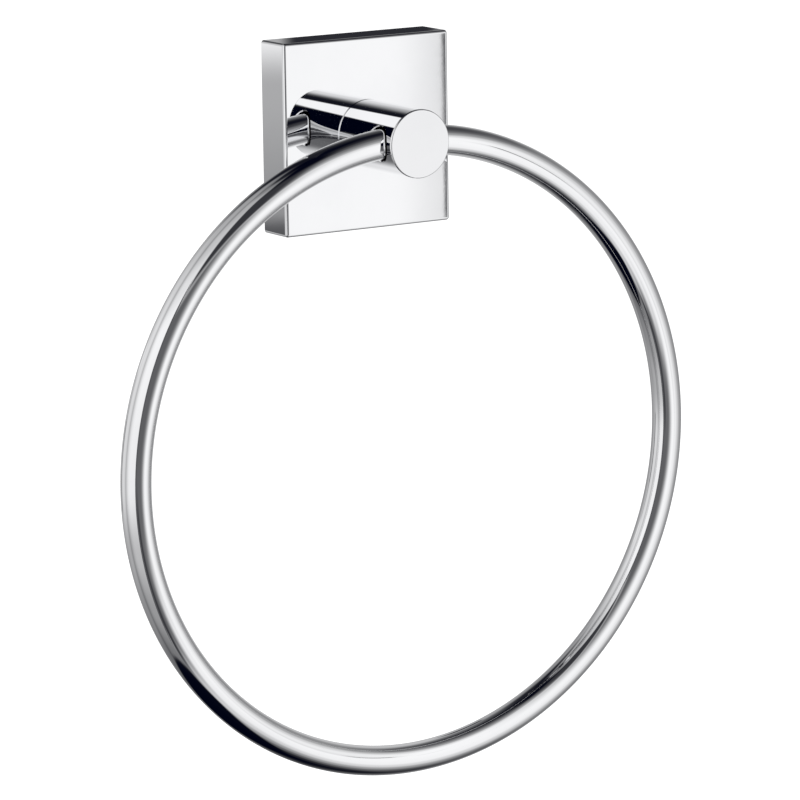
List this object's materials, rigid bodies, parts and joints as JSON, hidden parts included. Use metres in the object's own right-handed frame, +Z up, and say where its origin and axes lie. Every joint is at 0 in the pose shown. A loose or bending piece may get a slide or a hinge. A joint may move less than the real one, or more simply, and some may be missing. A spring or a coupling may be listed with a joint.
{
  "type": "towel ring",
  "caption": "Round rod ring that swings in the end of a short round post on a hollow square wall plate, which clamps on a hidden wall bracket; holds a hand towel.",
  "frame": {"origin": "centre of the plate's back, on the wall plane and on the post's axis", "axes": "+Z up, +Y into the wall, +X to the right of someone who faces the wall"},
  "size_m": [0.1634, 0.0345, 0.1835],
  "materials": {
    "bright_chrome": "polished",
    "bracket_steel": "satin",
    "screw_steel": "satin"
  },
  "bodies": {
    "wall_mount": {"cover_plate": "bright_chrome", "post": "bright_chrome", "wall_bracket": "bracket_steel", "post_washer": "screw_steel", "post_screw": "screw_steel", "set_screw": "screw_steel"},
    "swinging_ring": {"ring": "bright_chrome"}
  },
  "joints": [
    {"name": "ring_swing", "type": "hinge", "parent": "wall_mount", "child": "swinging_ring", "pos_m": [0, -0.0282, 0], "axis": [-1, 0, 0], "range_deg": [-9, 189]}
  ]
}
